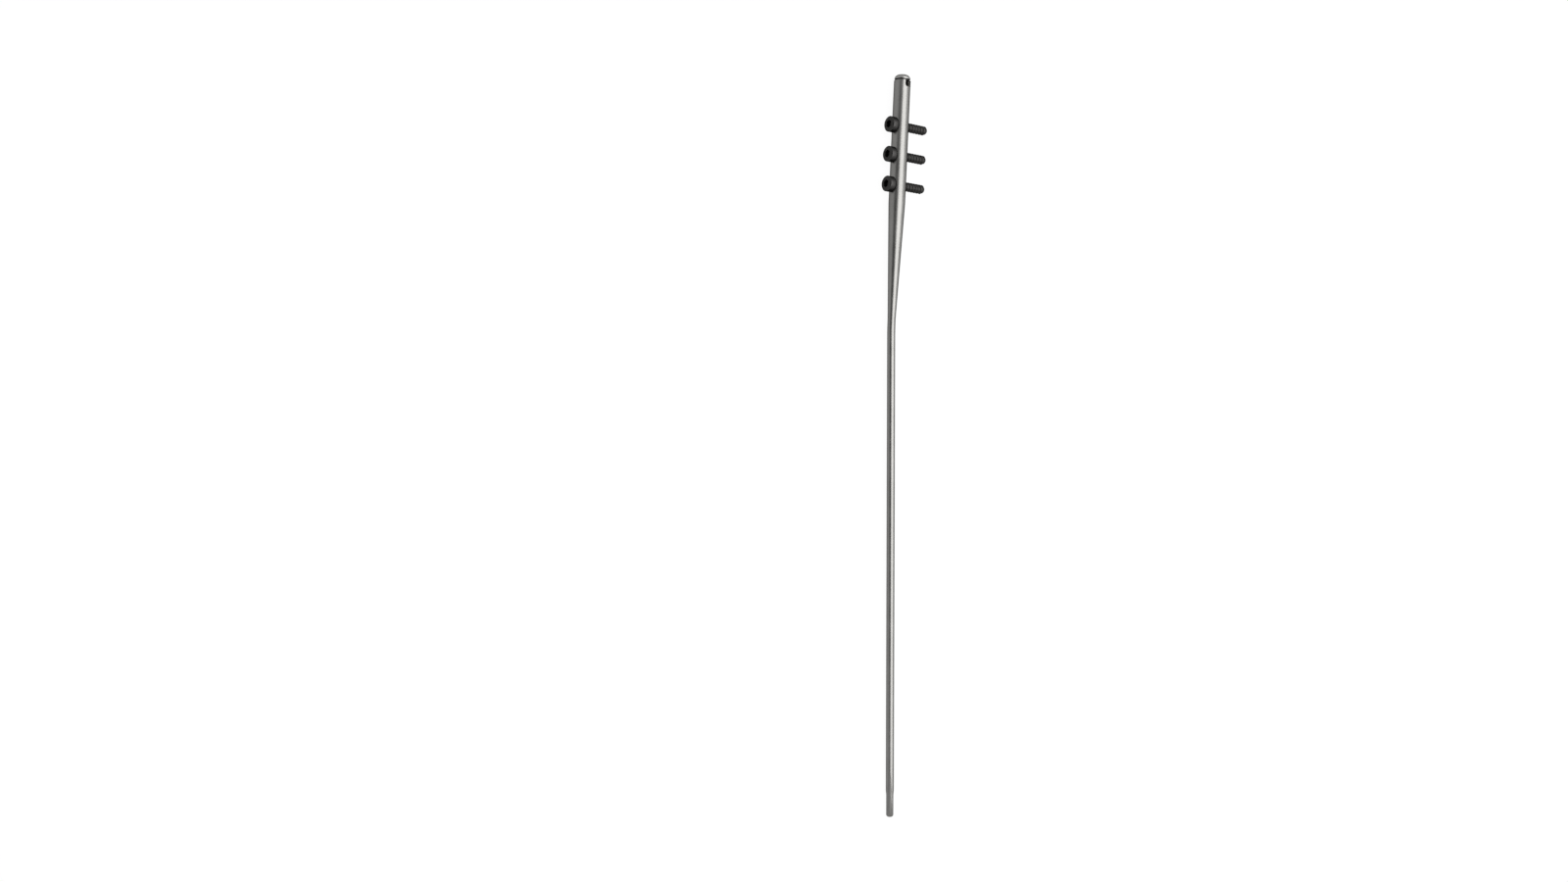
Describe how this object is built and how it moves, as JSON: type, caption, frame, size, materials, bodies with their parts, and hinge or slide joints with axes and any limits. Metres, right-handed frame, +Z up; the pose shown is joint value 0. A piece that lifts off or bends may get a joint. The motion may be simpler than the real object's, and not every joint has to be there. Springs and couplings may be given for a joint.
{
  "type": "intramedullary nail",
  "caption": "Slender round bone nail: thick barrel with countersunk cross holes and locking screws, end cap, cone, slight bend and a long thin shaft with a flattened tip.",
  "frame": {"origin": "middle of the object's box on the table that it lies on", "axes": "+Z up from the table, +X along the barrel from the cap to the tip, +Y from the screw heads to the screw tips"},
  "size_m": [0.2496, 0.0162, 0.006],
  "materials": {
    "nail_steel": "satin ground, along the bar",
    "cap_steel": "satin turned",
    "screw_dark": "dark charcoal, satin"
  },
  "bodies": {
    "nail": {"nail": "nail_steel"},
    "locking_screw_upper": {"locking_screw_upper": "screw_dark"},
    "locking_screw_middle": {"locking_screw_middle": "screw_dark"},
    "locking_screw_lower": {"locking_screw_lower": "screw_dark"},
    "end_cap": {"end_cap": "cap_steel"}
  },
  "joints": [
    {"name": "locking_screw_upper_slide", "type": "slide", "parent": "nail", "child": "locking_screw_upper", "axis": [0.0003, -0.9924, 0.123], "range_m": [0, 0.01466]},
    {"name": "locking_screw_middle_slide", "type": "slide", "parent": "nail", "child": "locking_screw_middle", "axis": [0.0003, -0.9924, 0.123], "range_m": [0, 0.01466]},
    {"name": "locking_screw_lower_slide", "type": "slide", "parent": "nail", "child": "locking_screw_lower", "axis": [0.0003, -0.9924, 0.123], "range_m": [0, 0.01466]},
    {"name": "end_cap_slide", "type": "slide", "parent": "nail", "child": "end_cap", "axis": [-1, 0, 0.0021], "range_m": [0, 0.008]}
  ]
}
